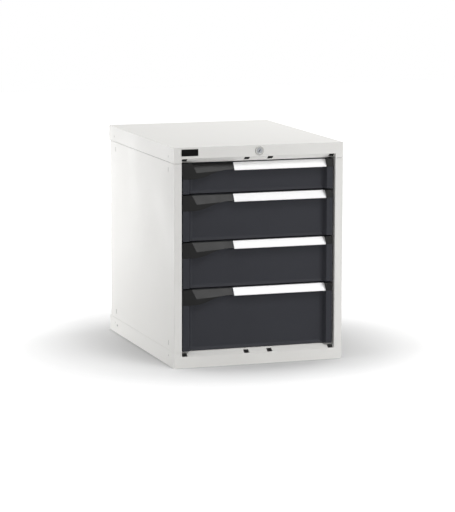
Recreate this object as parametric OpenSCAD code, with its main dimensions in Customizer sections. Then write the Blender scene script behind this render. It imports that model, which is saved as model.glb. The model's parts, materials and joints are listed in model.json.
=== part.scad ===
// Floor-standing workshop cabinet with four telescopic drawers and a central lock.
// Millimetres, +Z up, front towards -Y, origin on the floor under the middle of the housing.
// Drawers are counted from the top. Inside the modules y is measured back from the front plane.

/* [Housing] */
// Width of the housing
cab_w = 564; // [500:1:900]
// Depth of the housing
cab_d = 725; // [700:1:900]
// Height of the top cover
cover_h = 50; // [46:1:90]
// Height of the base frame
base_h = 50; // [46:1:150]
// Sheet thickness of the housing
sheet = 1.5; // [1:0.1:2]
// How far the side panels stop short of the rear
rear_inset = 16; // [10:1:25]
// Width of the flange under the base frame
base_flange = 40; // [30:1:60]
// Width of the flange under the top cover
cover_flange = 18; // [12:1:24]
// Radius of the floor fixing holes
floor_hole_r = 5.5; // [4:0.5:7]
// Distance of the floor fixing holes from the outer faces
floor_hole_inset = 24; // [18:1:30]
// Radius of the hole in each side of the base frame
side_hole_r = 3.5; // [2.5:0.5:5]
// Distance of that hole from the rear
side_hole_rear = 84; // [70:1:120]
// Height of that hole above the floor
side_hole_z = 27; // [20:1:30]

/* [Front opening] */
// Width of the flat front of each post
post_face = 20; // [14:1:22]
// Width of each post with its bevel
post_w = 26; // [24:1:34]
// Depth of the bevel on each post
post_bevel = 6; // [5:1:14]
// Depth of each front post
post_d = 58; // [50:1:70]
// Depth of the slope above and below the drawers
chamfer_d = 22; // [18:1:26]
// Height of the slope above and below the drawers
chamfer_h = 15; // [12:1:18]
// Width of the slots punched in the slopes
slot_w = 17; // [8:1:20]
// Depth of those slots from front to back
slot_d = 13; // [8:1:14]
// Distance of those slots behind the front plane
slot_y = 2.5; // [2:0.5:4]
// Distance between the two middle slots
slot_inner = 78; // [60:1:120]
// Distance between the two outer slots
slot_outer = 491; // [420:1:495]

/* [Drawers] */
// Height taken by the top drawer
drawer_1_h = 100; // [100:25:300]
// Height taken by the second drawer
drawer_2_h = 150; // [100:25:300]
// Height taken by the third drawer
drawer_3_h = 150; // [100:25:300]
// Height taken by the bottom drawer
drawer_4_h = 200; // [100:25:300]
// How far each drawer pulls out
drawer_travel = 600; // [400:10:600]
// Gap between two drawer fronts
front_gap = 4; // [3:0.5:6]
// Gap between a drawer front and the posts
side_gap = 5; // [4:0.5:8]
// Distance of the drawer fronts behind the front plane
front_inset = 6.5; // [4:0.5:9]
// Depth of a drawer front from its flanges to the tray
front_depth = 31.5; // [30:0.5:38]
// Sheet thickness of a drawer front
front_t = 1.5; // [1:0.1:2]
// Width of the upright flange at each end of a drawer front
flange_w = 20.3; // [16:0.1:26]
// Depth of the recess between the flanges
recess_d = 19.5; // [18:0.5:21]
// Width of the slope from a flange to the recess
recess_slope = 10.7; // [8:0.1:14]
// Radius in the corners of the recess
recess_r = 14; // [6:1:18]
// Height of the lip along the bottom of the recess
lip_h = 10; // [8:1:16]
// How far that lip leans forward
lip_lean = 6; // [4:1:9]
// Sheet thickness of a tray
tray_t = 1; // [0.8:0.1:1.5]
// Height of a tray below the height taken by its drawer
tray_drop = 25; // [20:1:30]
// Height of a tray's floor above the bottom of its drawer
tray_z = 8; // [6:1:12]
// Room behind the trays
rear_room = 73; // [68:1:90]
// Height of the folded edge round a tray
hem_h = 10; // [8:1:14]

/* [Handle] */
// Distance of the label's lower edge behind the front plane
label_y = 9.3; // [8:0.1:12]
// Drop of the label's lower edge below the top of its drawer
label_drop = 28; // [24:1:32]
// Drop of the slope's upper end below the top of its drawer
slope_drop = 3; // [2.5:0.5:5]
// Thickness of the label
label_t = 0.8; // [0.4:0.1:1.2]
// Clearance under the label
label_gap = 0.05; // [0.02:0.01:0.1]
// Thickness of the handle
handle_t = 2.2; // [1.8:0.1:3]
// Height of the handle's leg on the recess
leg_h = 8; // [6:1:12]
// Wall of the moulded grip and end cap
grip_t = 2.5; // [2:0.1:3]
// Length of the grip
grip_w = 168; // [140:1:200]
// Height of the grip at its outer end
grip_h = 51.5; // [48:0.5:56]
// Height of the grip where it meets the handle
grip_end_h = 25.5; // [23:0.5:28]
// Length of the full block at the grip's outer end, along the bottom
block_w = 46; // [40:1:54]
// How far the block leans back from its bottom to its top
block_lean = 16; // [8:1:20]
// How far the front of the grip draws back towards the handle
grip_sweep = 4.7; // [2:0.1:6]
// Where the rising edge of the grip starts
rise_start = 32; // [26:1:40]
// Where the rising edge of the grip ends
rise_end = 154; // [130:1:160]
// Height of the end cap
cap_h = 27.5; // [25:0.5:32]

/* [Latch] */
// Distance of the pivot from the grip's outer end
latch_x = 13; // [11:1:16]
// Distance of the pivot behind the front plane
latch_y = 18; // [17:0.5:20]
// Radius of the pivot pin
latch_pin_r = 2; // [1.5:0.1:2.5]
// Running clearance on the pivot pin
pin_gap = 0.1; // [0.05:0.05:0.1]
// Drop of the lever's upper face below the top of its drawer
latch_drop = 32; // [31:1:34]
// Height of the lever
latch_h = 14; // [10:1:15]
// Length of the finger arm
finger_l = 44; // [30:1:46]
// Gap between the nose and the post
nose_gap = 0.4; // [0.3:0.1:1]

/* [Slides] */
// Room for one telescopic slide beside the tray
slide_w = 25.5; // [24:0.5:30]
// Height of a rail
rail_h = 34; // [30:1:40]
// Thickness of a rail
rail_t = 2; // [1.5:0.1:2.5]
// Width of a rail's lips
rail_lip = 11; // [10:0.5:11.5]
// Height of a slide's middle above the bottom of its drawer
rail_z = 34; // [30:1:40]
// Distance of the rails behind the drawer front
rail_gap = 4; // [3:1:10]
// Thickness of the middle plate
mid_t = 1.5; // [1.2:0.1:2]
// Running clearance of a roller in its rail
roller_gap = 0.3; // [0.2:0.05:0.4]
// Radius of a roller's axle
axle_r = 4; // [3:0.5:5]
// Radius of an axle's head
axle_head_r = 6; // [5.5:0.5:8]
// Thickness of an axle's head
axle_head_t = 1.2; // [0.8:0.1:1.4]
// Side clearance of a roller
roller_side = 0.4; // [0.3:0.1:0.5]

/* [Lock] */
// Drop of the lock below the top
lock_drop = 18; // [17:1:22]
// Radius of the lock's rosette
rosette_r = 14.3; // [13:0.1:15]
// Thickness of the rosette
rosette_t = 2.5; // [1.5:0.1:3]
// Radius of the lock's barrel
barrel_r = 11; // [10:0.1:12]
// Length of the barrel behind the front plane
barrel_l = 22; // [16:1:30]
// Radius of the plug
plug_r = 9; // [7:0.1:9.4]
// Running clearance of the plug
plug_gap = 0.1; // [0.05:0.05:0.1]
// Distance of the plug's face behind the rosette's face
plug_recess = 1; // [0.5:0.1:1.5]
// Radius of the rod behind the plug
rod_r = 4; // [3:0.5:5]
// Throw of the crank at the rear
crank_r = 8.5; // [8:0.5:9]
// Radius of the crank's pin
crank_pin_r = 2.5; // [2:0.1:3]
// Clearance of that pin in its slot
slot_gap = 0.5; // [0.4:0.1:0.7]
// Width of the lock bar
bar_w = 26; // [24:1:34]
// Thickness of the lock bar
bar_t = 3; // [2:0.5:4]
// Clearance of the lock bar in its guides
guide_gap = 0.3; // [0.2:0.05:0.5]
// Height of a guide
guide_h = 24; // [16:1:30]
// Distance from a tray to the lock bar
bar_room = 32; // [30:1:34]
// Reach of a hook in front of the lock bar
hook_reach = 30; // [28:1:30]
// Height of a hook
hook_h = 12; // [11:1:14]
// How far a raised hook overlaps the catch on its tray
hook_engage = 5; // [3:0.5:6]
// Height of the catch on a tray above the bottom of its drawer
catch_z = 60; // [58:1:66]

/* [Hidden] */
PIECES = ["tray", "catch", "front", "handle", "label", "grip", "end_cap", "latch",
          "drawer_rails", "mid_rails", "rollers"];
HOUSING = ["base_frame", "left_side_panel", "right_side_panel", "rear_posts", "back_panel",
           "top_cover", "name_plate", "fixed_rails", "lock_housing", "lock_nut", "lock_plug",
           "lock_rod", "lock_rod_bracket", "lock_bar", "lock_hooks", "lock_bar_guides"];
$fn = 48;

past = 1;
half_w = cab_w / 2;
drawer_h = [drawer_1_h, drawer_2_h, drawer_3_h, drawer_4_h];
zone_h = drawer_1_h + drawer_2_h + drawer_3_h + drawer_4_h;
top_z = base_h + zone_h;
cab_h = top_z + cover_h;
back_y = cab_d - rear_inset;
fit = 0.5;

// Marks pressed in the sides where the posts are fixed
mark_w = 3;
mark_h = 15;
mark_deep = 0.6;
mark_end = 24;
mark_y = 60;
skirt_mark_h = 6;
skirt_mark_z = 17;

// Drawer fronts and trays
front_half = half_w - post_w - side_gap;
front_y = front_inset + front_depth;
recess_y = front_inset + recess_d;
recess_half = front_half - flange_w - recess_slope;
front_top = front_gap / 2;
piece_gap = 0.3;
rear_lip_w = 40;
rear_lip_h = 20;
tray_half = half_w - post_w - slide_w;
tray_y = cab_d - rear_room;
hem_t = 1.2;
seam = 0.05;

// Slope that carries the label, from its lower edge up to the recess
slope_run = recess_y - label_y;
slope_rise = label_drop - slope_drop;
slope_l = norm([slope_run, slope_rise]);
slope_u = [slope_run, slope_rise] / slope_l;
slope_n = [-slope_rise, slope_run] / slope_l;
handle_x0 = -front_half + grip_w;
handle_x1 = front_half - flange_w;
label_end = 4;
label_margin = 1.5;
label_r = 3;
cap_r = 2;
cap_edge_r = 1;
lip_t = 1.4;
lip_up = 0.4;

// Latch lever, seen from above round its pivot
nose_x = nose_gap - side_gap - latch_x;
nose_y = 11;
nose_w = 5;
nose_ramp = 3;
nose_r = 0.8;
arm_w = 6;
arm_r = 2;
finger_t = 3;
boss_r = 4.5;
window_pad = 2;
window_y = latch_y + nose_y - window_pad;
window_d = nose_w + 3 * window_pad;

// Slides
rail_y0 = front_y + rail_gap;
rail_end = 2;
rail_y1 = tray_y - rail_end;
mid_play = 2;
mid_x = (slide_w - mid_t) / 2;
roller_r = rail_h / 2 - rail_t - roller_gap;
roller_w = mid_x - rail_t - axle_head_t - 3 * roller_side;
axle_margin = 8;
roller_end = roller_r + axle_margin;
post_lip = 8;
rear_post_d = 56;
rear_post_end = 4;

// Lock
lock_z = cab_h - lock_drop;
rosette_rim = 1.2;
plug_l = 26;
key_w = 2.2;
key_l = 9;
key_deep = 10;
key_tilt = 40;
nut_h = 6;
nut_r = 15.4;
collar_r = 7;
collar_l = 8;
bar_y = tray_y + bar_room;
crank_t = 3.5;
crank_arm_r = 5;
crank_gap = 2.5;
crank_y = bar_y - crank_gap - crank_t;
crank_rest = 225;
pin_drop = -crank_r * sin(crank_rest);
lift = 2 * pin_drop;
bar_x = -8;
bar_end = 8;
bar_foot = 20;
hook_w = 20;
catch_w = 28;
catch_t = 2;
catch_l = 10;
catch_foot = 12;
catch_lip = 12;
hook_top = catch_z - catch_lip + hook_engage - lift;
guide_wall = 4;
guide_front = 3;
guide_down = 24;
bracket_t = 2.5;
bracket_w = 28;
bracket_l = 22;
bracket_gap = 6;
bracket_y = tray_y + bracket_gap;

// Fixings and trim
screw_hole_r = 2.1;
screw_x = 12;
screw_end = 40;
back_margin = 3;
plate_x = 24.5;
plate_w = 55;
plate_h = 21.3;
plate_top = 6;
plate_t = 1.2;
plate_r = 1;

steel_white = "#DEDEDB";
anthracite = "#38393D";
black_plastic = "#2E2E2C";
zinc = "#B4B6B6";
nickel = "#C2C4C4";
card = "#F7F7F5";
nylon = "#4A4C50";

function unit(v) = v / norm(v);
function reversed(p) = [for (i = [len(p) - 1 : -1 : 0]) p[i]];
function mirrored(p) = [for (q = reversed(p)) [-q.x, q.y]];

// Left-hand normal of the line from a to b
function side_of(a, b) = unit([a.y - b.y, b.x - a.x]);

// Bends of a folded sheet moved to its left by d
function moved(p, d) = [
    for (i = [0 : len(p) - 1])
        let (
            j = max(i - 1, 0),
            k = min(i, len(p) - 2),
            m = side_of(p[j], p[j + 1]),
            n = side_of(p[k], p[k + 1])
        )
        p[i] + d * (m + n) / (1 + m * n)
];

// Section of a sheet of thickness t folded along p
function folded(p, t) = concat(p, reversed(moved(p, t)));

function arc(c, r, a, b, n = 8) =
    [for (k = [0 : n]) c + r * [cos(a + (b - a) * k / n), sin(a + (b - a) * k / n)]];

// Corner b of an outline, rounded to radius r
function corner(a, b, c, r) =
    r == 0 ? [b] :
    let (
        u = unit(a - b),
        v = unit(c - b),
        half = acos(u * v) / 2,
        o = b + unit(u + v) * r / sin(half),
        s = b + u * r / tan(half) - o,
        e = b + v * r / tan(half) - o,
        from = atan2(s.y, s.x),
        turn = (atan2(e.y, e.x) - from + 540) % 360 - 180
    )
    arc(o, r, from, from + turn);

// Outline p with each corner rounded to its radius in r
function rounded(p, r) = [
    for (i = [0 : len(p) - 1])
        each corner(p[(i + len(p) - 1) % len(p)], p[i], p[(i + 1) % len(p)], r[i])
];

function box_points(x0, y0, x1, y1) = [[x0, y0], [x1, y0], [x1, y1], [x0, y1]];

// Height of the bottom of drawer i
function drawer_z(i) = i == 4 ? base_h : drawer_z(i + 1) + drawer_h[i];

// Point on the label's slope: s up the slope, n out of its face
function on_slope(s, n, h) = [label_y, h - label_drop] + s * slope_u + n * slope_n;

// Height of the slope at y, moved out of its face by n
function slope_z(y, n, h) = h - label_drop + ((y - label_y) * slope_rise + n * slope_l) / slope_run;

module from_front() translate([0, -cab_d / 2, 0]) children();
module both_sides() {
    children();
    mirror([1, 0, 0]) children();
}
module upright(z0, z1) translate([0, 0, z0]) linear_extrude(z1 - z0) children();
module across(x0, x1) translate([x0, 0, 0]) rotate([90, 0, 90]) linear_extrude(x1 - x0) children();
module lengthwise(y0, y1) translate([0, y1, 0]) rotate([90, 0, 0]) linear_extrude(y1 - y0) children();

// Slope over the drawer opening, mitred to the bevels of the posts, moved into the sheet by d
module opening_slope(h, d) {
    k = chamfer_h / chamfer_d;
    drop = d * sqrt(1 + k * k);
    top = h + past;
    far = (chamfer_h + past + drop) / k;
    lean = (post_w - post_face) / post_bevel;
    post = [
        [half_w - post_face + lean * past, -past],
        [half_w - post_w, post_bevel],
        [half_w - post_w, far + past]
    ];
    edge = moved(post, -d);
    intersection() {
        across(-half_w, half_w)
            polygon([[-past, h - chamfer_h - k * past - drop], [far, top], [-past, top]]);
        upright(-past, top + past) polygon(concat(edge, mirrored(edge)));
    }
}

// Outer form of the base frame, and turned over of the top cover, moved inwards by d
module housing_form(h, d) {
    difference() {
        translate([-half_w + d, d, d]) cube([cab_w - 2 * d, cab_d - 2 * d, h - 2 * d]);
        opening_slope(h, d);
    }
}

module slope_slots(h) {
    for (x = [slot_inner / 2, slot_outer / 2])
        both_sides()
            translate([x - slot_w / 2, slot_y, h - chamfer_h - slot_d])
                cube([slot_w, slot_d, chamfer_h + slot_d + past]);
}

module side_marks(ys, zs, h) {
    for (y = ys, z = zs)
        both_sides()
            translate([-half_w - past, y - mark_w / 2, z - h / 2])
                cube([past + mark_deep, mark_w, h]);
}

module base_frame() {
    color(steel_white) from_front() difference() {
        housing_form(base_h, 0);
        housing_form(base_h, sheet);
        translate([-half_w + base_flange, base_flange, -past])
            cube([cab_w - 2 * base_flange, cab_d - 2 * base_flange, sheet + 2 * past]);
        slope_slots(base_h);
        for (y = [floor_hole_inset, cab_d - floor_hole_inset])
            both_sides()
                translate([half_w - floor_hole_inset, y, -past])
                    cylinder(r = floor_hole_r, h = sheet + 2 * past);
        both_sides()
            translate([-half_w - past, cab_d - side_hole_rear, side_hole_z])
                rotate([0, 90, 0]) cylinder(r = side_hole_r, h = sheet + 2 * past);
        side_marks([mark_y, cab_d - mark_y], [base_h - skirt_mark_z], skirt_mark_h);
    }
}

module top_cover() {
    color(steel_white) from_front() translate([0, 0, cab_h]) mirror([0, 0, 1]) difference() {
        housing_form(cover_h, 0);
        housing_form(cover_h, sheet);
        translate([-half_w + post_w, chamfer_d + cover_flange, cover_h - sheet - past])
            cube([cab_w - 2 * post_w, cab_d - chamfer_d - 2 * cover_flange, sheet + 2 * past]);
        slope_slots(cover_h);
        lengthwise(-past, sheet + past) translate([0, lock_drop]) circle(r = barrel_r + pin_gap);
        side_marks([mark_y, cab_d - mark_y], [cover_h - skirt_mark_z], skirt_mark_h);
    }
}

function screw_heights() = [base_h + screw_end, base_h + zone_h / 2, top_z - screw_end];

// Left side panel, folded round into the front post
module side_panel(latched) {
    rear_lip = 2 * screw_x;
    path = [
        [-half_w + rear_lip, back_y],
        [-half_w, back_y],
        [-half_w, 0],
        [-half_w + post_face, 0],
        [-half_w + post_w, post_bevel],
        [-half_w + post_w, post_d],
        [-half_w + post_lip, post_d]
    ];
    difference() {
        upright(base_h, top_z) polygon(folded(path, sheet));
        side_marks([mark_y, back_y - mark_y], [base_h + mark_end, top_z - mark_end], mark_h);
        for (z = screw_heights())
            lengthwise(back_y - 2 * sheet, back_y + past)
                translate([-half_w + screw_x, z]) circle(r = screw_hole_r);
        if (latched)
            for (i = [1 : 4])
                translate([-half_w + post_w - 2 * sheet, window_y,
                           drawer_z(i) + drawer_h[i - 1] - latch_drop - latch_h - window_pad])
                    cube([4 * sheet, window_d, latch_h + 2 * window_pad]);
    }
}

module left_side_panel() color(steel_white) from_front() side_panel(true);
module right_side_panel() color(steel_white) from_front() mirror([1, 0, 0]) side_panel(false);

module rear_posts() {
    y1 = tray_y + rear_post_end;
    y0 = y1 - rear_post_d;
    path = [
        [-half_w + sheet, y0],
        [-half_w + post_w, y0],
        [-half_w + post_w, y1],
        [-half_w + sheet, y1]
    ];
    color(steel_white) from_front() both_sides()
        upright(base_h, top_z) polygon(folded(path, sheet));
}

module back_panel() {
    color(steel_white) from_front() lengthwise(back_y, back_y + sheet) difference() {
        polygon(box_points(-half_w + back_margin, base_h + fit, half_w - back_margin, top_z - fit));
        for (z = screw_heights())
            both_sides() translate([half_w - screw_x, z]) circle(r = screw_hole_r);
    }
}

module name_plate() {
    x0 = -half_w + plate_x;
    z1 = cab_h - plate_top;
    color(black_plastic) from_front() lengthwise(-plate_t, 0)
        polygon(rounded(box_points(x0, z1 - plate_h, x0 + plate_w, z1), [for (i = [1 : 4]) plate_r]));
}

// Places its children on the lock's axis, with +Z out of the front
module on_lock_axis() from_front() translate([0, 0, lock_z]) rotate([90, 0, 0]) children();

module lock_housing() {
    bore = plug_r + plug_gap;
    profile = [
        [bore, -barrel_l],
        [barrel_r, -barrel_l],
        [barrel_r, 0],
        [rosette_r, 0],
        [rosette_r, rosette_t - rosette_rim],
        [rosette_r - rosette_rim, rosette_t],
        [barrel_r, rosette_t],
        [bore, rosette_t - plug_recess]
    ];
    color(nickel) on_lock_axis() rotate_extrude() polygon(profile);
}

module lock_nut() {
    color(zinc) on_lock_axis() translate([0, 0, -sheet - nut_h]) difference() {
        cylinder(r = nut_r, h = nut_h, $fn = 6);
        translate([0, 0, -past]) cylinder(r = barrel_r + pin_gap, h = nut_h + 2 * past);
    }
}

module lock_plug() {
    face = rosette_t - plug_recess;
    color(nickel) on_lock_axis() difference() {
        translate([0, 0, -plug_l]) cylinder(r = plug_r, h = plug_l + face);
        rotate(-key_tilt)
            translate([-key_w / 2, -key_l / 2, face - key_deep]) cube([key_w, key_l, key_deep + past]);
    }
}

module crank_place() rotate(crank_rest) translate([crank_r, 0]) children();

// Rod from the plug to the rear, with the crank that lifts the lock bar
module lock_rod() {
    color(zinc) from_front() translate([0, 0, lock_z]) {
        lengthwise(plug_l, plug_l + collar_l) circle(r = collar_r);
        lengthwise(plug_l + collar_l, crank_y) circle(r = rod_r);
        lengthwise(crank_y, crank_y + crank_t) {
            circle(r = collar_r);
            crank_place() circle(r = crank_arm_r);
            rotate(crank_rest) translate([0, -crank_arm_r]) square([crank_r, 2 * crank_arm_r]);
        }
        lengthwise(crank_y + crank_t, bar_y + bar_t + past) crank_place() circle(r = crank_pin_r);
    }
}

// Bracket under the cover that carries the rear of the rod
module lock_rod_bracket() {
    under = cab_h - sheet;
    color(zinc) from_front() {
        lengthwise(bracket_y, bracket_y + bracket_t) difference() {
            polygon(box_points(-bracket_w / 2, lock_z - bracket_w / 2, bracket_w / 2, under));
            translate([0, lock_z]) circle(r = rod_r + pin_gap);
        }
        translate([-bracket_w / 2, bracket_y - bracket_l, under - bracket_t])
            cube([bracket_w, bracket_l, bracket_t]);
    }
}

// Bar that the crank lifts
module lock_bar() {
    slot_z = lock_z - pin_drop;
    slot_r = crank_pin_r + slot_gap;
    color(zinc) from_front() lengthwise(bar_y, bar_y + bar_t) difference() {
        polygon(box_points(bar_x - bar_w / 2, base_h + bar_foot, bar_x + bar_w / 2, slot_z + bar_end));
        polygon(box_points(-crank_r - slot_r, slot_z - slot_r, -pin_drop + slot_r, slot_z + slot_r));
    }
}

// Hook on the bar behind each tray
module lock_hooks() {
    path = [[bar_y, -hook_h], [bar_y - hook_reach, -hook_h], [bar_y - hook_reach, 0]];
    color(zinc) from_front()
        for (i = [1 : 4])
            translate([0, 0, drawer_z(i) + hook_top])
                across(bar_x - hook_w / 2, bar_x + hook_w / 2) polygon(folded(path, -bar_t));
}

module lock_bar_guides() {
    x0 = bar_x - bar_w / 2;
    x1 = bar_x + bar_w / 2;
    color(nylon) from_front()
        for (i = [2, 4])
            translate([0, 0, drawer_z(i) + drawer_h[i - 1] - guide_down - guide_h])
                upright(0, guide_h) difference() {
                    polygon(box_points(x0 - guide_wall, bar_y - guide_front, x1 + guide_wall, back_y));
                    polygon(box_points(x0 - guide_gap, bar_y - guide_gap,
                                       x1 + guide_gap, bar_y + bar_t + guide_gap));
                }
}

// Section of a tray's upright sheet with its outer face at x, folded over outwards along the top
function hemmed(x, h) =
    let (z0 = tray_z + tray_t + seam, z1 = tray_z + h - tray_drop)
    [[x - tray_t, z0], [x, z0], [x, z1 - hem_h], [x + hem_t, z1 - hem_h], [x + hem_t, z1], [x - tray_t, z1]];

// Tray of welded sheets: the floor, two sides, and between them the front and the rear
module drawer_tray(h) {
    end_half = tray_half - tray_t - seam;
    color(anthracite) from_front() {
        upright(tray_z, tray_z + tray_t) polygon(box_points(-tray_half, front_y, tray_half, tray_y));
        both_sides() lengthwise(front_y, tray_y) polygon(hemmed(tray_half, h));
        across(-end_half, end_half) {
            polygon(hemmed(tray_y, h));
            polygon(box_points(front_y, tray_z + tray_t + seam, front_y + tray_t, tray_z + h - tray_drop));
        }
    }
}

// Catch on the rear of a tray, behind which a hook rises
module drawer_catch() {
    path = [
        [tray_y, catch_z + catch_foot],
        [tray_y, catch_z],
        [tray_y + catch_l, catch_z],
        [tray_y + catch_l, catch_z - catch_lip]
    ];
    color(zinc) from_front()
        across(bar_x - catch_w / 2, bar_x + catch_w / 2) polygon(folded(path, catch_t));
}

// Hollow of the recess seen from above, between the flanges
module recess_plan() {
    lean = recess_slope / recess_d;
    rim = [recess_half + recess_slope + lean * past, front_inset - past];
    polygon(rounded([rim, [recess_half, recess_y], [-recess_half, recess_y], [-rim.x, rim.y]],
                    [0, recess_r, recess_r, 0]));
}

// Hollow of the recess seen from the side, with the lip that leans forward at the bottom
module recess_section(h) {
    foot = recess_y - lip_lean;
    polygon(rounded([[-past, -past], [foot - lip_lean * past / lip_h, front_top - past],
                     [recess_y, front_top + lip_h], [recess_y, h + past], [-past, h + past]],
                    [0, 0, recess_r, 0, 0]));
}

// Space inside a flange, between its outer edge and the slope of the recess
module flange_hollow(z1) {
    lean = recess_slope / recess_d;
    slope = moved([[-recess_half - recess_slope, front_inset], [-recess_half, recess_y]], front_t);
    upright(front_top + front_t, z1)
        polygon([[-front_half + front_t, front_inset + front_t], slope[0] + front_t * [lean, 1],
                 slope[1] + front_t * [lean, 1], [-front_half + front_t, recess_y + front_t]]);
}

// Pressed front with an upright flange at each end and a recess between them
module drawer_front(h) {
    z1 = h - front_top;
    grip_z = h - grip_h - piece_gap;
    cap_z = h - cap_h - piece_gap;
    inner_half = front_half - front_t;
    lip_half = recess_half - recess_r;
    notch_half = front_half + past;
    notch_x = recess_half - recess_r;
    handle_z = on_slope(-lip_t - lip_up, -label_t - label_gap - handle_t, h).y - piece_gap;
    color(anthracite) from_front() difference() {
        translate([-front_half, front_inset, front_top])
            cube([2 * front_half, front_depth, h - front_gap]);
        intersection() {
            upright(-past, h + past) recess_plan();
            across(-front_half, front_half) recess_section(h);
        }
        translate([-notch_half, -past, grip_z]) cube([notch_half - notch_x, recess_y + past, h]);
        translate([notch_x, -past, cap_z]) cube([notch_half - notch_x, recess_y + past, h]);
        translate([notch_x, -past, handle_z])
            cube([handle_x1 + piece_gap - notch_x, recess_y + past, h]);
        translate([-inner_half, recess_y + front_t, front_top + front_t])
            cube([2 * inner_half, front_y - recess_y - 2 * front_t, h - front_gap - 2 * front_t]);
        translate([-front_half + rear_lip_w, recess_y + front_t, front_top + rear_lip_h])
            cube([2 * (front_half - rear_lip_w), front_depth, h - front_gap - 2 * rear_lip_h]);
        across(-lip_half, lip_half)
            polygon([[recess_y - lip_lean + 2 * front_t, front_top + front_t],
                     [recess_y + front_t, front_top + lip_h], [recess_y + 2 * front_t, front_top + front_t]]);
        flange_hollow(grip_z - front_t);
        mirror([1, 0, 0]) flange_hollow(handle_z - front_t);
        translate([-notch_half, recess_y - past, h - latch_drop - latch_h - window_pad])
            cube([latch_x + arm_w + 2 * window_pad, front_depth, latch_h + 2 * window_pad]);
    }
}

// Sloped strip that the hand pulls, with a leg on the recess and a lip under the label
module drawer_handle(h) {
    face = -label_t - label_gap;
    under = face - handle_t;
    core = face - handle_t / 2;
    leg_y = recess_y - handle_t;
    foot = slope_z(leg_y, under, h) - leg_h;
    color(anthracite) from_front() across(handle_x0, handle_x1) intersection() {
        union() {
            polygon([on_slope(-lip_t - lip_up, under, h), on_slope(slope_l + handle_t, under, h),
                     on_slope(slope_l + handle_t, face, h), on_slope(-lip_up, face, h),
                     on_slope(-lip_up, lip_up, h), on_slope(-lip_t - lip_up, lip_up, h)]);
            polygon([[leg_y, foot], [recess_y, foot], [recess_y, slope_z(recess_y, core, h)],
                     [leg_y, slope_z(leg_y, core, h)]]);
        }
        polygon(box_points(0, 0, recess_y, h - front_top));
    }
}

module drawer_label(h) {
    length = handle_x1 - handle_x0 - label_end;
    width = slope_l - label_margin;
    angle = atan2(slope_rise, slope_run);
    color(card) from_front()
        translate([handle_x0 + label_end, label_y, h - label_drop])
            rotate([angle, 0, 0]) translate([0, 0, -label_t]) linear_extrude(label_t)
                polygon(rounded(box_points(0, 0, length, width), [0, label_r, label_r, label_r]));
}

// Lower edge of the grip from its inner end, rising in two arcs that meet half-way
function grip_edge(h) =
    let (
        x0 = -front_half + rise_start,
        x1 = -front_half + rise_end,
        low = h - grip_h,
        high = h - grip_end_h,
        run = (x1 - x0) / 2,
        rise = (high - low) / 2,
        r = (run * run + rise * rise) / (2 * rise),
        turn = asin(run / r)
    )
    concat(arc([x1, high - r], r, 90, 90 + turn), arc([x0, low + r], r, 270 + turn, 270));

// Solid form of the grip: full block at the outer end, then the label's slope with a rising edge
module grip_form(h, d) {
    x0 = -front_half + d;
    x1 = handle_x0 - d;
    top = h - front_top - d;
    deep = -h;
    outline = d == 0
        ? concat([[x0, top], [x1, top], [x1, h - grip_end_h]], grip_edge(h), [[x0, h - grip_h]])
        : [[x0, top], [x1, top], [x1, deep], [-front_half + rise_start, deep],
           [-front_half + rise_start, h - grip_h + d], [x0, h - grip_h + d]];
    rear = recess_y + (d == 0 ? 0 : past);
    plan = [[x0, front_inset + d], [-front_half + block_w, front_inset + d],
            [handle_x0, front_inset + grip_sweep + d], [handle_x0, rear], [x0, rear]];
    low_drop = label_drop + (label_y - front_inset) * slope_rise / slope_run;
    lean = block_lean / (low_drop - front_top);
    intersection() {
        lengthwise(0, front_y) polygon(outline);
        upright(-h, h) polygon(plan);
        union() {
            across(-front_half, handle_x0)
                polygon([on_slope(-slope_l, -d, h), on_slope(2 * slope_l, -d, h),
                         [2 * front_y, -h], [-front_y, -h]]);
            lengthwise(0, front_y)
                polygon([[-front_half, h], [-front_half + block_w - block_lean - lean * front_top - d, h],
                         [-front_half + block_w - d, h - low_drop], [-front_half + block_w - d, -h],
                         [-front_half, -h]]);
        }
    }
}

// Moulded grip, open behind and below, with the latch's pin
module drawer_grip(h) {
    color(black_plastic) from_front() {
        difference() {
            grip_form(h, 0);
            grip_form(h, grip_t);
        }
        translate([-front_half + latch_x, latch_y, h - grip_h])
            cylinder(r = latch_pin_r, h = grip_h - front_top);
    }
}

module drawer_end_cap(h) {
    x0 = handle_x1;
    plan = box_points(x0, front_inset, front_half, recess_y);
    hollow = box_points(x0 + grip_t, front_inset + grip_t, front_half - grip_t, recess_y + past);
    color(black_plastic) from_front() difference() {
        upright(h - cap_h, h - front_top) polygon(rounded(plan, [cap_edge_r, cap_r, 0, 0]));
        upright(h - cap_h + grip_t, h - front_top - grip_t) polygon(hollow);
    }
}

// Finger lever in the grip, whose nose holds the drawer at the left post
module drawer_latch(h) {
    color(nylon) from_front() translate([-front_half + latch_x, latch_y, h - latch_drop - latch_h])
        linear_extrude(latch_h) difference() {
            union() {
                circle(r = boss_r);
                translate([-arm_w / 2, 0]) square([arm_w, nose_y + nose_w]);
                polygon(rounded([[nose_x, nose_y], [arm_w / 2, nose_y], [arm_w / 2, nose_y + nose_w],
                                 [nose_x + nose_w, nose_y + nose_w],
                                 [nose_x, nose_y + nose_w - nose_ramp]],
                                [nose_r, 0, arm_r, 0, nose_r]));
                translate([0, -finger_t / 2]) square([finger_l, finger_t]);
                translate([finger_l, 0]) circle(r = finger_t);
            }
            circle(r = latch_pin_r + pin_gap);
        }
}

// C-shaped rail: web against x, lips reaching away from it by w
module rail_section(x, w) {
    z0 = rail_z - rail_h / 2;
    z1 = rail_z + rail_h / 2;
    polygon(folded([[x + w, z0], [x, z0], [x, z1], [x + w, z1]], w > 0 ? -rail_t : rail_t));
}

module fixed_rails() {
    color(zinc) from_front() both_sides()
        for (i = [1 : 4])
            translate([0, 0, drawer_z(i)])
                lengthwise(rail_y0, rail_y1) rail_section(-half_w + post_w, rail_lip);
}

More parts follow.
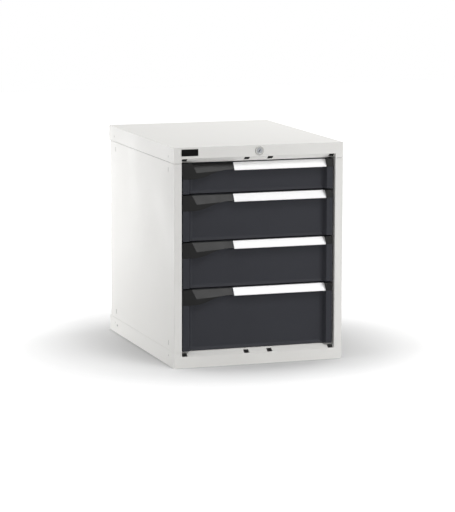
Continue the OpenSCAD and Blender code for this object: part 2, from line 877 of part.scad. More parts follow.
module drawer_drawer_rails() {
    color(zinc) from_front() both_sides()
        lengthwise(rail_y0, rail_y1) rail_section(-tray_half, -rail_lip);
}

// Axle places on the left slide: the rear pair runs in the fixed rail, the front pair in the drawer's
function outer_axles() = [rail_y0 + drawer_travel / 2 + roller_end, rail_y1 - mid_play - roller_end];
function inner_axles() = [rail_y0 + mid_play + roller_end, rail_y1 - drawer_travel / 2 - roller_end];

// Places its children on every axle, with +Z from the plate's face to the rail
module on_axles() {
    both_sides() translate([-half_w + post_w + mid_x, 0, rail_z]) {
        for (y = outer_axles()) translate([0, y, 0]) rotate([0, -90, 0]) children();
        for (y = inner_axles()) translate([mid_t, y, 0]) rotate([0, 90, 0]) children();
    }
}

module drawer_mid_rails() {
    z0 = rail_z - rail_h / 2 + rail_t / 2;
    color(zinc) from_front() {
        both_sides()
            translate([-half_w + post_w + mid_x, rail_y0 + mid_play, z0])
                cube([mid_t, rail_y1 - rail_y0 - 2 * mid_play, rail_h - rail_t]);
        on_axles() {
            cylinder(r = axle_r, h = roller_w + 2 * roller_side);
            translate([0, 0, roller_w + 2 * roller_side]) cylinder(r = axle_head_r, h = axle_head_t);
        }
    }
}

module drawer_rollers() {
    crown = 0.6;
    profile = [
        [axle_r + pin_gap, 0],
        [roller_r - crown, 0],
        [roller_r, crown],
        [roller_r, roller_w - crown],
        [roller_r - crown, roller_w],
        [axle_r + pin_gap, roller_w]
    ];
    color(nylon) from_front() on_axles()
        translate([0, 0, roller_side]) rotate_extrude() polygon(profile);
}

base_frame();
left_side_panel();
right_side_panel();
rear_posts();
back_panel();
top_cover();
name_plate();
fixed_rails();
lock_housing();
lock_nut();
lock_plug();
lock_rod();
lock_rod_bracket();
lock_bar();
lock_hooks();
lock_bar_guides();
for (i = [1 : 4]) translate([0, 0, drawer_z(i)]) {
    h = drawer_h[i - 1];
    name = str("drawer_", i, "_");
    drawer_tray(h);
    drawer_catch();
    drawer_front(h);
    drawer_handle(h);
    drawer_label(h);
    drawer_grip(h);
    drawer_end_cap(h);
    drawer_latch(h);
    drawer_drawer_rails();
    drawer_mid_rails();
    drawer_rollers();
}
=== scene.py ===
import json
import math

import bmesh
import bpy
from mathutils import Matrix, Vector


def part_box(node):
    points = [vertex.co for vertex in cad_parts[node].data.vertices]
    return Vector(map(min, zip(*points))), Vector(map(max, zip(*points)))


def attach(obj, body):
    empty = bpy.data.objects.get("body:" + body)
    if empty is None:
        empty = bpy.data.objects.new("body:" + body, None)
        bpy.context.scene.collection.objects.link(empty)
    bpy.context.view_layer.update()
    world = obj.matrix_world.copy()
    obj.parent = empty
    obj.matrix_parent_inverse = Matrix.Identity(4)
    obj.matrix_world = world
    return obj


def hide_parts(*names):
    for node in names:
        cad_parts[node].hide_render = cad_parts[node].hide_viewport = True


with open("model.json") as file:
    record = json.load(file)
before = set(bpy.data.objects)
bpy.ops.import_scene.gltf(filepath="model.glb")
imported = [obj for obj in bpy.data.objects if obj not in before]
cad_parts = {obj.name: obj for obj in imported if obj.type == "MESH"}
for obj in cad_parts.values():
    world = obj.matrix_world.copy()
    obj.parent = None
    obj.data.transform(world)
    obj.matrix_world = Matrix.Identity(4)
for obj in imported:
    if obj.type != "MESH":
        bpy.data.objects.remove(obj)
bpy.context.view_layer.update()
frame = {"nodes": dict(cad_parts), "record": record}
nodes = frame["nodes"]
record = frame["record"]
slots = {part["node"]: part["material_slot"] for part in record["subparts"]}
bodies = {node: body for body, members in record["behaviour"]["bodies"].items() for node in members}
mm = 0.001


def linear(hexColour):
    # sRGB hex text to the linear colour that a shader takes
    channels = [int(hexColour[i:i + 2], 16) / 255 for i in (1, 3, 5)]
    return tuple(c / 12.92 if c <= 0.04045 else ((c + 0.055) / 1.055) ** 2.4 for c in channels) + (1.0,)


def addNode(tree, kind, inputs=None, **settings):
    node = tree.nodes.new(kind)
    for name, value in settings.items():
        setattr(node, name, value)
    for socket, value in (inputs or {}).items():
        if isinstance(value, bpy.types.NodeSocket):
            tree.links.new(value, node.inputs[socket])
        else:
            node.inputs[socket].default_value = value
    return node


def newMaterial(name):
    material = bpy.data.materials.new(name)
    material.use_nodes = True
    material.node_tree.nodes.clear()
    return material, material.node_tree


def addObject(name, mesh, material):
    piece = bpy.data.objects.new(name, mesh)
    bpy.context.scene.collection.objects.link(piece)
    mesh.materials.clear()
    mesh.materials.append(material)
    return piece


# Materials. Widths of patterns and heights of bumps are in mm

noiseSpan = {"From Min": 0.3, "From Max": 0.7}  # most of a noise lies between these


def powderCoat(name, look):
    # Sprayed powder that melts to an even skin: matt, with a fine orange peel and slow drifts of tone and
    # gloss. Faces marked with painted shade take a near-black painted shadow, so slots and holes look black
    material, tree = newMaterial(name)
    place = addNode(tree, "ShaderNodeTexCoord").outputs["Object"]
    peel = addNode(tree, "ShaderNodeTexNoise", {
        "Vector": place, "Scale": 1 / (look["peel"] * mm), "Detail": 2.0})
    drift = addNode(tree, "ShaderNodeTexNoise", {
        "Vector": place, "Scale": 1 / (look["drift"] * mm), "Detail": 3.0})
    skin = addNode(tree, "ShaderNodeMix", {
        "Factor": drift.outputs["Fac"], "A": linear(look["dark"]), "B": linear(look["light"])},
        data_type="RGBA")
    recess = addNode(tree, "ShaderNodeAttribute", attribute_name="recess")
    tone = addNode(tree, "ShaderNodeMix", {
        "Factor": recess.outputs["Fac"], "A": skin.outputs["Result"], "B": linear(look["shadowTone"])},
        data_type="RGBA")
    gloss = addNode(tree, "ShaderNodeMapRange", {
        "Value": drift.outputs["Fac"], **noiseSpan,
        "To Min": look["rough"][0], "To Max": look["rough"][1]})
    bump = addNode(tree, "ShaderNodeBump", {
        "Height": peel.outputs["Fac"], "Strength": look["depth"], "Distance": look["relief"] * mm})
    shader = addNode(tree, "ShaderNodeBsdfPrincipled", {
        "Base Color": tone.outputs["Result"], "Roughness": gloss.outputs["Result"], "IOR": 1.5,
        "Specular IOR Level": look["specular"], "Normal": bump.outputs["Normal"]})
    addNode(tree, "ShaderNodeOutputMaterial", {"Surface": shader.outputs["BSDF"]})
    return material


# The near-black colour in each look is painted shade for the marked slots, holes, folds and marks
paintLight = powderCoat("powderCoatLightGrey", {
    "dark": "#E0DFDC", "light": "#E5E4E1", "shadowTone": "#161616", "rough": (0.5, 0.6), "specular": 0.5,
    "peel": 1.6, "drift": 160, "depth": 0.35, "relief": 0.05})
paintDark = powderCoat("powderCoatAnthracite", {
    "dark": "#34353A", "light": "#393A3F", "shadowTone": "#161616", "rough": (0.46, 0.56), "specular": 0.1,
    "peel": 1.4, "drift": 120, "depth": 0.4, "relief": 0.05})


def mouldedPlastic(name, look):
    # Injection moulding with a spark-eroded grain: dull, slightly mottled in gloss
    material, tree = newMaterial(name)
    place = addNode(tree, "ShaderNodeTexCoord").outputs["Object"]
    grain = addNode(tree, "ShaderNodeTexVoronoi", {"Vector": place, "Scale": 1 / (look["grain"] * mm)})
    flow = addNode(tree, "ShaderNodeTexNoise", {
        "Vector": place, "Scale": 1 / (look["flow"] * mm), "Detail": 3.0})
    tone = addNode(tree, "ShaderNodeMix", {
        "Factor": flow.outputs["Fac"], "A": linear(look["dark"]), "B": linear(look["light"])},
        data_type="RGBA")
    gloss = addNode(tree, "ShaderNodeMapRange", {
        "Value": flow.outputs["Fac"], **noiseSpan,
        "To Min": look["rough"][0], "To Max": look["rough"][1]})
    bump = addNode(tree, "ShaderNodeBump", {
        "Height": grain.outputs["Distance"], "Strength": look["depth"], "Distance": look["relief"] * mm})
    shader = addNode(tree, "ShaderNodeBsdfPrincipled", {
        "Base Color": tone.outputs["Result"], "Roughness": gloss.outputs["Result"], "IOR": 1.5,
        "Specular IOR Level": look["specular"], "Normal": bump.outputs["Normal"]})
    addNode(tree, "ShaderNodeOutputMaterial", {"Surface": shader.outputs["BSDF"]})
    return material


absBlack = mouldedPlastic("absBlackMoulded", {
    "dark": "#131313", "light": "#181818", "rough": (0.32, 0.38), "specular": 0.2,
    "grain": 0.9, "flow": 35, "depth": 0.3, "relief": 0.04})
acrylicBlack = mouldedPlastic("acrylicBlackPlate", {
    "dark": "#0B0B0B", "light": "#0E0E0E", "rough": (0.24, 0.3), "specular": 0.08,
    "grain": 1.5, "flow": 18, "depth": 0.05, "relief": 0.04})
nylonGrey = mouldedPlastic("nylonGreyMoulded", {
    "dark": "#46484C", "light": "#4E5054", "rough": (0.4, 0.5), "specular": 0.5,
    "grain": 1.2, "flow": 25, "depth": 0.2, "relief": 0.04})


def platedMetal(name, look):
    # Electroplated metal: bright, with drawn scratches along one way and soft clouds in the plating.
    # Painted shade darkens it where a mesh has its shade marked
    material, tree = newMaterial(name)
    place = addNode(tree, "ShaderNodeTexCoord").outputs["Object"]
    along = addNode(tree, "ShaderNodeMapping", {"Vector": place, "Scale": look["stretch"]})
    scratch = addNode(tree, "ShaderNodeTexNoise", {
        "Vector": along.outputs["Vector"], "Scale": 1 / (look["scratch"] * mm), "Detail": 4.0})
    cloud = addNode(tree, "ShaderNodeTexNoise", {
        "Vector": place, "Scale": 1 / (look["cloud"] * mm), "Detail": 2.0})
    plate = addNode(tree, "ShaderNodeMix", {
        "Factor": cloud.outputs["Fac"], "A": linear(look["dark"]), "B": linear(look["light"])},
        data_type="RGBA")
    recess = addNode(tree, "ShaderNodeAttribute", attribute_name="recess")
    tone = addNode(tree, "ShaderNodeMix", {
        "Factor": recess.outputs["Fac"], "A": plate.outputs["Result"], "B": linear(look["shadeTone"])},
        data_type="RGBA")
    gloss = addNode(tree, "ShaderNodeMapRange", {
        "Value": scratch.outputs["Fac"], **noiseSpan,
        "To Min": look["rough"][0], "To Max": look["rough"][1]})
    bump = addNode(tree, "ShaderNodeBump", {
        "Height": scratch.outputs["Fac"], "Strength": look["depth"], "Distance": look["relief"] * mm})
    shader = addNode(tree, "ShaderNodeBsdfPrincipled", {
        "Base Color": tone.outputs["Result"], "Metallic": 1.0, "Roughness": gloss.outputs["Result"],
        "Normal": bump.outputs["Normal"]})
    addNode(tree, "ShaderNodeOutputMaterial", {"Surface": shader.outputs["BSDF"]})
    return material


# The near-black colour in each look is painted shade, used where a mesh marks it, as in the lock's key slot
zincPlated = platedMetal("zincPlatedSteel", {
    "dark": "#A9ACAE", "light": "#C3C6C7", "shadeTone": "#2A2A2A", "rough": (0.28, 0.42),
    "scratch": 1.5, "stretch": (1.0, 0.04, 1.0), "cloud": 14, "depth": 0.3, "relief": 0.02})
satinNickel = platedMetal("satinNickel", {
    "dark": "#9C9C9A", "light": "#AEAEAB", "shadeTone": "#2A2A2A", "rough": (0.26, 0.36),
    "scratch": 0.5, "stretch": (1.0, 1.0, 0.2), "cloud": 6, "depth": 0.2, "relief": 0.02})
plugNickelKeywayShade = platedMetal("plugNickelKeywayShade", {
    "dark": "#888A8D", "light": "#9A9C9F", "shadeTone": "#0C0C0C", "rough": (0.3, 0.42),
    "scratch": 0.4, "stretch": (0.2, 1.0, 1.0), "cloud": 4, "depth": 0.3, "relief": 0.02})


def filmedCard(name, look):
    # White card behind clear film: bright paper, a faint painted shade where it bends into the lower lip,
    # and a soft gloss on top
    material, tree = newMaterial(name)
    place = addNode(tree, "ShaderNodeTexCoord").outputs
    across = addNode(tree, "ShaderNodeSeparateXYZ", {"Vector": place["UV"]})
    fibre = addNode(tree, "ShaderNodeTexNoise", {
        "Vector": place["Object"], "Scale": 1 / (look["fibre"] * mm), "Detail": 3.0})
    shade = addNode(tree, "ShaderNodeMapRange", {
        "Value": across.outputs["Y"], "From Min": 0.0, "From Max": look["shadeBand"]},
        interpolation_type="SMOOTHSTEP")
    tone = addNode(tree, "ShaderNodeMix", {
        "Factor": shade.outputs["Result"], "A": linear(look["dark"]), "B": linear(look["light"])},
        data_type="RGBA")
    bump = addNode(tree, "ShaderNodeBump", {
        "Height": fibre.outputs["Fac"], "Strength": look["depth"], "Distance": look["relief"] * mm})
    shader = addNode(tree, "ShaderNodeBsdfPrincipled", {
        "Base Color": tone.outputs["Result"], "Roughness": look["rough"], "IOR": 1.45,
        "Coat Weight": 1.0, "Coat Roughness": look["film"], "Normal": bump.outputs["Normal"]})
    addNode(tree, "ShaderNodeOutputMaterial", {"Surface": shader.outputs["BSDF"]})
    return material


# The dark tone is the painted shade along the card's lower edge
labelCard = filmedCard("labelCard", {
    "dark": "#F2F2F2", "light": "#FEFEFE", "shadeBand": 0.28, "rough": 0.6, "film": 0.32,
    "fibre": 0.8, "depth": 0.1, "relief": 0.02})

materials = {"white_steel": paintLight, "anthracite_steel": paintDark, "black_plastic": absBlack,
             "label_card": labelCard, "grey_nylon": nylonGrey, "zinc_steel": zincPlated,
             "nickel_lock": satinNickel}
ownFinish = {"name_plate": acrylicBlack, "lock_plug": plugNickelKeywayShade}
print("materials", len(materials) + len(ownFinish))

# CAD pieces with their sharp edges broken, as folded, moulded and turned pieces have them

edgeRadius = {"white_steel": 0.4, "anthracite_steel": 0.3, "black_plastic": 0.45, "label_card": 0.1,
              "grey_nylon": 0.3, "zinc_steel": 0.2, "nickel_lock": 0.25}  # mm
rounding = {"weld": 0.001, "flat": 0.5, "sharp": 30, "crease": 32,  # mm, then degrees
            "steps": 2, "weight": 100}
foldedFrames = ("base_frame", "top_cover")
sidePanels = ("left_side_panel", "right_side_panel")
seams = {"top": 0.9, "foot": 0.5}  # open joints at the side panels, mm: thin dark lines round the housing
postFold = {"was": 262.0, "now": 256.8, "within": 0.1}  # mm from the middle: the posts' fold is made tight
samePlace = 0.01  # mm


def openSeams(work, low, high):
    for vert in work.verts:
        if vert.co.z > high.z - samePlace * mm:
            vert.co.z -= seams["top"] * mm
        elif vert.co.z < low.z + samePlace * mm:
            vert.co.z += seams["foot"] * mm


def tightenFold(work):
    front = min(vert.co.y for vert in work.verts)
    for vert in work.verts:
        onFold = abs(abs(vert.co.x) - postFold["was"] * mm) < postFold["within"] * mm
        if onFold and vert.co.y < front + samePlace * mm:
            vert.co.x = math.copysign(postFold["now"] * mm, vert.co.x)


def roundedCopy(node):
    mesh = nodes[node].data.copy()
    mesh.name = node + "Rounded"
    normals = mesh.attributes.get("custom_normal")
    if normals:
        mesh.attributes.remove(normals)
    work = bmesh.new()
    work.from_mesh(mesh)
    bmesh.ops.remove_doubles(work, verts=work.verts, dist=rounding["weld"] * mm)
    if node in sidePanels:
        openSeams(work, *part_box(node))
    if node in sidePanels + foldedFrames:
        tightenFold(work)
    bmesh.ops.dissolve_limit(work, angle_limit=math.radians(rounding["flat"]), verts=work.verts,
                             edges=work.edges)
    limit = math.radians(rounding["sharp"])
    sharp = [edge for edge in work.edges if edge.is_manifold and edge.calc_face_angle() > limit]
    bmesh.ops.bevel(work, geom=sharp, offset=edgeRadius[slots[node]] * mm, segments=rounding["steps"],
                    profile=0.5, affect="EDGES", clamp_overlap=True)
    work.to_mesh(mesh)
    work.free()
    for face in mesh.polygons:
        face.use_smooth = True
    mesh.set_sharp_from_angle(angle=math.radians(rounding["crease"]))
    return mesh


# Faces of the housing that take painted shade, in mm
paintedShadeZones = {"skin": 0.05, "sheet": 1.6, "rim": 2,  # depth behind the outer skin, distance from its edges
            "mark": 0.7, "markShadeShare": 0.55,  # shallow marks take part of the painted shade
            "slots": (39, 245.5), "slotHalf": 8.9, "slotDepth": (2.1, 15.9),
            "hem": 1, "fold": 34, "post": 256, "postHalf": 0.7,
            "lean": 0.3}  # the slope's normal leans forward and up or down by more than this


def markPaintedShade(mesh, folded, low, high):
    # Painted shade: 1 inside the folds, in the slots and in the side holes, less in the shallow marks
    layer = mesh.attributes.new("recess", "FLOAT", "FACE")
    near, far = low / mm, high / mm
    for face in mesh.polygons:
        at, out = face.center / mm, face.normal
        sideways = far.x - at.x if at.x > 0 else at.x - near.x
        behind = at.y - near.y
        level = min(at.z - near.z, far.z - at.z)
        ends = min(behind, far.y - at.y)
        share = 0.0
        if paintedShadeZones["skin"] < sideways < paintedShadeZones["sheet"] and min(level, ends) > paintedShadeZones["rim"]:
            share = paintedShadeZones["markShadeShare"] if sideways < paintedShadeZones["mark"] else 1.0
        onSlope = out.y < -paintedShadeZones["lean"] and abs(out.z) > paintedShadeZones["lean"]
        if folded and not onSlope:
            beside = any(abs(abs(at.x) - x) < paintedShadeZones["slotHalf"] for x in paintedShadeZones["slots"])
            inSlot = beside and paintedShadeZones["slotDepth"][0] < behind < paintedShadeZones["slotDepth"][1]
            inFold = min(sideways, ends, level) > paintedShadeZones["hem"] and level < paintedShadeZones["fold"]
            onPost = abs(abs(at.x) - paintedShadeZones["post"]) < paintedShadeZones["postHalf"]
            if inSlot or (inFold and not onPost):
                share = 1.0
        layer.data[face.index].value = share


# Key slot in the lock's plug: its reach from the axis and its depth behind the plug's face, in mm
keyway = {"reach": 5.5, "depth": (0.3, 10.5)}


def markKeywayShade(mesh, low, high):
    # Painted shade: 1 on the walls and the bottom of the key slot
    layer = mesh.attributes.new("recess", "FLOAT", "FACE")
    axis = (low + high) / 2
    for face in mesh.polygons:
        away = math.hypot(face.center.x - axis.x, face.center.z - axis.z) / mm
        behind = (face.center.y - low.y) / mm
        inside = away < keyway["reach"] and keyway["depth"][0] < behind < keyway["depth"][1]
        layer.data[face.index].value = float(inside)


def layUv(mesh, low, high):
    # Length of the card along u, its width from the lower edge up along v
    layer = mesh.uv_layers.new(name="cardUv")
    width, height = high.x - low.x, high.z - low.z
    for loop in mesh.loops:
        place = mesh.vertices[loop.vertex_index].co
        layer.data[loop.index].uv = ((place.x - low.x) / width, (place.z - low.z) / height)


for node in sorted(nodes):
    mesh = roundedCopy(node)
    if slots[node] == "label_card":
        layUv(mesh, *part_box(node))
    # Painted shade for the housing's slots, holes and folds, and for the lock's key slot
    if node in sidePanels + foldedFrames:
        markPaintedShade(mesh, node in foldedFrames, *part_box(node))
    if node == "lock_plug":
        markKeywayShade(mesh, *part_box(node))
    piece = addObject(node + "_finish", mesh, ownFinish.get(node, materials[slots[node]]))
    # Large faces shade flat, up to their rounded edges
    flatten = piece.modifiers.new("flatFaces", "WEIGHTED_NORMAL")
    flatten.keep_sharp = True
    flatten.weight = rounding["weight"]
    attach(piece, bodies[node])
    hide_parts(node)
print("pieces", len(nodes))

# Pan-head screws that hold the back panel to the lips of the side panels

backScrews = {"across": 270, "heights": (90, 350, 610),  # mm from the middle and above the floor
              "sizes": {"Head Radius": 4.0, "Head Height": 2.4, "Shank Radius": 2.0, "Shank Length": 6.0,
                        "Cross Length": 4.4, "Cross Width": 0.9, "Cross Depth": 1.3},  # mm
              "around": 32, "rings": 16, "shankSides": 24, "crease": 35,
              "sunk": 0.45,  # share of the shank from its middle to the head's seat
              "seed": 5}


def screwTree(name, look):
    tree = bpy.data.node_groups.new(name, "GeometryNodeTree")
    tree.interface.new_socket("Places", in_out="INPUT", socket_type="NodeSocketGeometry")
    for label in look["sizes"]:
        tree.interface.new_socket(label, in_out="INPUT", socket_type="NodeSocketFloat")
    tree.interface.new_socket("Finish", in_out="INPUT", socket_type="NodeSocketMaterial")
    tree.interface.new_socket("Screws", in_out="OUTPUT", socket_type="NodeSocketGeometry")
    given = addNode(tree, "NodeGroupInput").outputs

    # Head: upper half of a flattened ball, with a cross cut into it
    ball = addNode(tree, "GeometryNodeMeshUVSphere", {
        "Segments": look["around"], "Rings": look["rings"], "Radius": given["Head Radius"]})
    flatter = addNode(tree, "ShaderNodeMath", {0: given["Head Height"], 1: given["Head Radius"]},
                      operation="DIVIDE")
    flat = addNode(tree, "ShaderNodeCombineXYZ", {"X": 1.0, "Y": 1.0, "Z": flatter.outputs["Value"]})
    dome = addNode(tree, "GeometryNodeTransform", {
        "Geometry": ball.outputs["Mesh"], "Scale": flat.outputs["Vector"]})
    twice = addNode(tree, "ShaderNodeMath", {0: given["Head Height"], 1: 2.0}, operation="MULTIPLY")
    wide = addNode(tree, "ShaderNodeMath", {0: given["Head Radius"], 1: 3.0}, operation="MULTIPLY")
    room = addNode(tree, "ShaderNodeCombineXYZ", {
        "X": wide.outputs["Value"], "Y": wide.outputs["Value"], "Z": twice.outputs["Value"]})
    block = addNode(tree, "GeometryNodeMeshCube", {"Size": room.outputs["Vector"]})
    up = addNode(tree, "ShaderNodeCombineXYZ", {"X": 0.0, "Y": 0.0, "Z": given["Head Height"]})
    above = addNode(tree, "GeometryNodeTransform", {
        "Geometry": block.outputs["Mesh"], "Translation": up.outputs["Vector"]})
    head = addNode(tree, "GeometryNodeMeshBoolean", operation="INTERSECT")
    for half in (dome, above):
        tree.links.new(half.outputs["Geometry"], head.inputs["Mesh 2"])
    deep = addNode(tree, "ShaderNodeMath", {0: given["Cross Depth"], 1: 2.0}, operation="MULTIPLY")
    bar = addNode(tree, "ShaderNodeCombineXYZ", {
        "X": given["Cross Length"], "Y": given["Cross Width"], "Z": deep.outputs["Value"]})
    cutter = addNode(tree, "GeometryNodeMeshCube", {"Size": bar.outputs["Vector"]})
    cross = addNode(tree, "GeometryNodeMeshBoolean", {"Mesh 1": head.outputs["Mesh"]},
                    operation="DIFFERENCE")
    for turn in (0.0, math.pi / 2):
        arm = addNode(tree, "GeometryNodeTransform", {
            "Geometry": cutter.outputs["Mesh"], "Rotation": (0.0, 0.0, turn),
            "Translation": up.outputs["Vector"]})
        tree.links.new(arm.outputs["Geometry"], cross.inputs["Mesh 2"])

    # Shank under the head, a little into it so that the two are one solid
    shank = addNode(tree, "GeometryNodeMeshCylinder", {
        "Vertices": look["shankSides"], "Radius": given["Shank Radius"], "Depth": given["Shank Length"]})
    sink = addNode(tree, "ShaderNodeMath", {0: given["Shank Length"], 1: -look["sunk"]},
                   operation="MULTIPLY")
    down = addNode(tree, "ShaderNodeCombineXYZ", {"X": 0.0, "Y": 0.0, "Z": sink.outputs["Value"]})
    stem = addNode(tree, "GeometryNodeTransform", {
        "Geometry": shank.outputs["Mesh"], "Translation": down.outputs["Vector"]})
    screw = addNode(tree, "GeometryNodeMeshBoolean", operation="UNION")
    tree.links.new(cross.outputs["Mesh"], screw.inputs["Mesh 2"])
    tree.links.new(stem.outputs["Geometry"], screw.inputs["Mesh 2"])

    # Each one driven home at its own turn, pointing out of the back
    spin = addNode(tree, "FunctionNodeRandomValue", {"Seed": look["seed"]}, data_type="FLOAT")
    spin.inputs[3].default_value = math.pi / 2  # largest turn
    aim = addNode(tree, "ShaderNodeCombineXYZ", {"X": -math.pi / 2, "Y": spin.outputs[1], "Z": 0.0})
    turned = addNode(tree, "FunctionNodeEulerToRotation", {"Euler": aim.outputs["Vector"]})
    many = addNode(tree, "GeometryNodeInstanceOnPoints", {
        "Points": given["Places"], "Instance": screw.outputs["Mesh"],
        "Rotation": turned.outputs["Rotation"]})
    real = addNode(tree, "GeometryNodeRealizeInstances", {"Geometry": many.outputs["Instances"]})
    plated = addNode(tree, "GeometryNodeSetMaterial", {
        "Geometry": real.outputs["Geometry"], "Material": given["Finish"]})
    addNode(tree, "NodeGroupOutput", {"Screws": plated.outputs["Geometry"]})
    return tree


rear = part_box("back_panel")[1].y
places = [(side * backScrews["across"] * mm, rear, height * mm)
          for side in (-1, 1) for height in backScrews["heights"]]
carrier = bpy.data.meshes.new("screwPlaces")
carrier.from_pydata(places, [], [])
carrierObject = addObject("screwPlaces", carrier, zincPlated)
tree = screwTree("panelScrews", backScrews)
maker = carrierObject.modifiers.new("panelScrews", "NODES")
maker.node_group = tree
for socket in tree.interface.items_tree:
    if socket.name in backScrews["sizes"]:
        maker[socket.identifier] = backScrews["sizes"][socket.name] * mm
    elif socket.name == "Finish":
        maker[socket.identifier] = zincPlated
depsgraph = bpy.context.evaluated_depsgraph_get()
mesh = bpy.data.meshes.new_from_object(carrierObject.evaluated_get(depsgraph))
carrierObject.modifiers.remove(maker)
bpy.data.objects.remove(carrierObject)
mesh.set_sharp_from_angle(angle=math.radians(backScrews["crease"]))
screws = addObject("back_panel_screws", mesh, zincPlated)
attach(screws, "cabinet")
print("back screws", len(mesh.polygons))

# Stage


def lightPaths(tree):
    # The first is 1 for mirror images and glass, which see the studio as plain white, and the second is 1
    # for the camera's own rays
    path = addNode(tree, "ShaderNodeLightPath").outputs
    mirror = addNode(tree, "ShaderNodeMath", {0: path["Is Glossy Ray"], 1: path["Is Transmission Ray"]},
                     operation="ADD", use_clamp=True)
    return mirror.outputs["Value"], path["Is Camera Ray"]


def paperSweep(name, look):
    # White paper that keeps its real shadow, with a painted shadow on top: grey near the object, with a
    # thin dark painted line where the two touch, and plain white away from it. The painted shadow is for
    # the camera's rays only, so the light that the paper throws back on the object stays true
    material, tree = newMaterial(name)
    mirrorRay, cameraRay = lightPaths(tree)
    near = addNode(tree, "ShaderNodeAmbientOcclusion", {"Distance": look["reach"]}, samples=look["rays"])
    shade = addNode(tree, "ShaderNodeMapRange", {
        "Value": near.outputs["AO"], "From Min": look["wall"], "To Min": look["contact"],
        "To Max": look["grey"]})
    touch = addNode(tree, "ShaderNodeAmbientOcclusion", {"Distance": look["touch"]}, samples=look["rays"])
    line = addNode(tree, "ShaderNodeMapRange", {
        "Value": touch.outputs["AO"], "From Min": look["wall"], "To Min": look["line"], "To Max": 0.0})
    darker = addNode(tree, "ShaderNodeMath", {0: shade.outputs["Result"], 1: line.outputs["Result"]},
                     operation="MAXIMUM")
    seen = addNode(tree, "ShaderNodeMath", {0: darker.outputs["Value"], 1: cameraRay}, operation="MULTIPLY")
    colour = addNode(tree, "ShaderNodeMix", {
        "Factor": seen.outputs["Value"], "A": linear(look["colour"]), "B": linear("#000000")},
        data_type="RGBA")
    paper = addNode(tree, "ShaderNodeBsdfDiffuse", {"Color": colour.outputs["Result"]})

    # White away from the middle, and none under the object
    place = addNode(tree, "ShaderNodeTexCoord").outputs["Object"]
    away = addNode(tree, "ShaderNodeVectorMath", {0: place}, operation="LENGTH")
    sweep = addNode(tree, "ShaderNodeMapRange", {
        "Value": away.outputs["Value"], "From Min": look["from"], "From Max": look["full"],
        "To Max": look["glow"]}, interpolation_type="SMOOTHSTEP")
    outside = addNode(tree, "ShaderNodeMapRange", {
        "Value": near.outputs["AO"], "From Min": look["under"], "From Max": look["wall"]})
    lift = addNode(tree, "ShaderNodeMath", {0: sweep.outputs["Result"], 1: outside.outputs["Result"]},
                   operation="MULTIPLY")
    strength = addNode(tree, "ShaderNodeMath", {0: lift.outputs["Value"], 1: cameraRay},
                       operation="MULTIPLY")
    glow = addNode(tree, "ShaderNodeEmission", {"Strength": strength.outputs["Value"]})
    lit = addNode(tree, "ShaderNodeAddShader", {0: paper.outputs["BSDF"], 1: glow.outputs["Emission"]})
    white = addNode(tree, "ShaderNodeEmission", {"Strength": 1.0})
    both = addNode(tree, "ShaderNodeMixShader", {
        0: mirrorRay, 1: lit.outputs["Shader"], 2: white.outputs["Emission"]})
    addNode(tree, "ShaderNodeOutputMaterial", {"Surface": both.outputs["Shader"]})
    return material


# The grey, contact and line shares set how dark the painted shadow is
floorLook = {"half": 9.0, "reach": 0.2, "touch": 0.04, "from": 0.18, "full": 1.03,  # m
             "colour": "#EBEBEB", "grey": 0.27, "contact": 0.38, "line": 0.6, "glow": 0.655,  # shares
             "wall": 0.5, "under": 0.2,  # open sky beside a tall wall, and under the object
             "rays": 16}
half = floorLook["half"]
floorMesh = bpy.data.meshes.new("floor")
corners = [(-half, -half, 0), (half, -half, 0), (half, half, 0), (-half, half, 0)]
floorMesh.from_pydata(corners, [], [(0, 1, 2, 3)])
floor = addObject("floor", floorMesh, paperSweep("whitePaperSweep", floorLook))

studio = {"dome": 0.15, "backdrop": 1.0}  # light from all round, and the white that the camera sees
world = bpy.data.worlds.new("whiteStudio")
bpy.context.scene.world = world
world.use_nodes = True
tree = world.node_tree
tree.nodes.clear()
mirrorRay, cameraRay = lightPaths(tree)
direct = addNode(tree, "ShaderNodeMath", {0: mirrorRay, 1: cameraRay}, operation="ADD", use_clamp=True)
white = linear("#FFFFFF")
dome = addNode(tree, "ShaderNodeBackground", {"Color": white, "Strength": studio["dome"]})
backdrop = addNode(tree, "ShaderNodeBackground", {"Color": white, "Strength": studio["backdrop"]})
both = addNode(tree, "ShaderNodeMixShader", {
    0: direct.outputs["Value"], 1: dome.outputs["Background"], 2: backdrop.outputs["Background"]})
addNode(tree, "ShaderNodeOutputWorld", {"Surface": both.outputs["Shader"]})

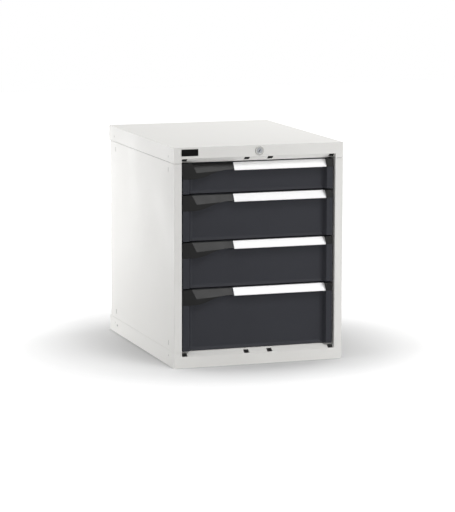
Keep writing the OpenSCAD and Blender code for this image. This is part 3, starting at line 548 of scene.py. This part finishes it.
suns = {  # direction that the light comes from, width in degrees, irradiance over pi
    "leftSun": {"toward": (-0.42, 0.1, 0.9), "width": 35, "power": 0.367},
    "keySun": {"toward": (0.24, -0.55, 0.8), "width": 24, "power": 0.332},
    "frontSun": {"toward": (-0.3, -0.9, 0.25), "width": 40, "power": 0.093}}
softboxes = {  # place and target in m, size in m, power in W
    "leftRearSoftbox": {"at": (-1.0, 1.15, 0.4), "to": (-0.28, 0.35, 0.3), "size": 0.8, "power": 7.5},
    "rightFrontSoftbox": {"at": (1.2, -1.7, 0.6), "to": (0.2, -0.36, 0.3), "size": 0.9, "power": 7.0},
    "rightTopSoftbox": {"at": (1.5, 0.4, 1.9), "to": (0.1, 0.0, 0.7), "size": 1.2, "power": 12.9}}
for name, look in (suns | softboxes).items():
    data = bpy.data.lights.new(name, "SUN" if name in suns else "AREA")
    lamp = bpy.data.objects.new(name, data)
    if name in suns:
        data.angle = math.radians(look["width"])
        data.energy = look["power"] * math.pi
        aim = -Vector(look["toward"])
    else:
        data.shape = "DISK"
        data.size = look["size"]
        data.energy = look["power"]
        lamp.location = look["at"]
        aim = Vector(look["to"]) - Vector(look["at"])
    lamp.rotation_euler = aim.to_track_quat("-Z", "Y").to_euler()
    bpy.context.scene.collection.objects.link(lamp)
print("stage")

# Camera fitted to the photograph's edges: place in m, angles in degrees, lens and sensor in mm
cameraLook = {"at": (-2.64868, -7.86164, 1.59525), "yaw": 18.7333, "pitch": 8.9242, "roll": -0.1059,
              "lens": 178.8189, "sensor": 36.0, "farthest": 60.0}
data = bpy.data.cameras.new("camera")
data.lens = cameraLook["lens"]
data.sensor_width = cameraLook["sensor"]
data.clip_end = cameraLook["farthest"]
camera = bpy.data.objects.new("camera", data)
camera.matrix_world = (Matrix.Translation(cameraLook["at"])
                       @ Matrix.Rotation(math.radians(-cameraLook["yaw"]), 4, "Z")
                       @ Matrix.Rotation(math.radians(90 - cameraLook["pitch"]), 4, "X")
                       @ Matrix.Rotation(math.radians(-cameraLook["roll"]), 4, "Z"))
bpy.context.scene.collection.objects.link(camera)
bpy.context.scene.camera = camera
bpy.context.scene.view_settings.view_transform = "Standard"
print("camera")
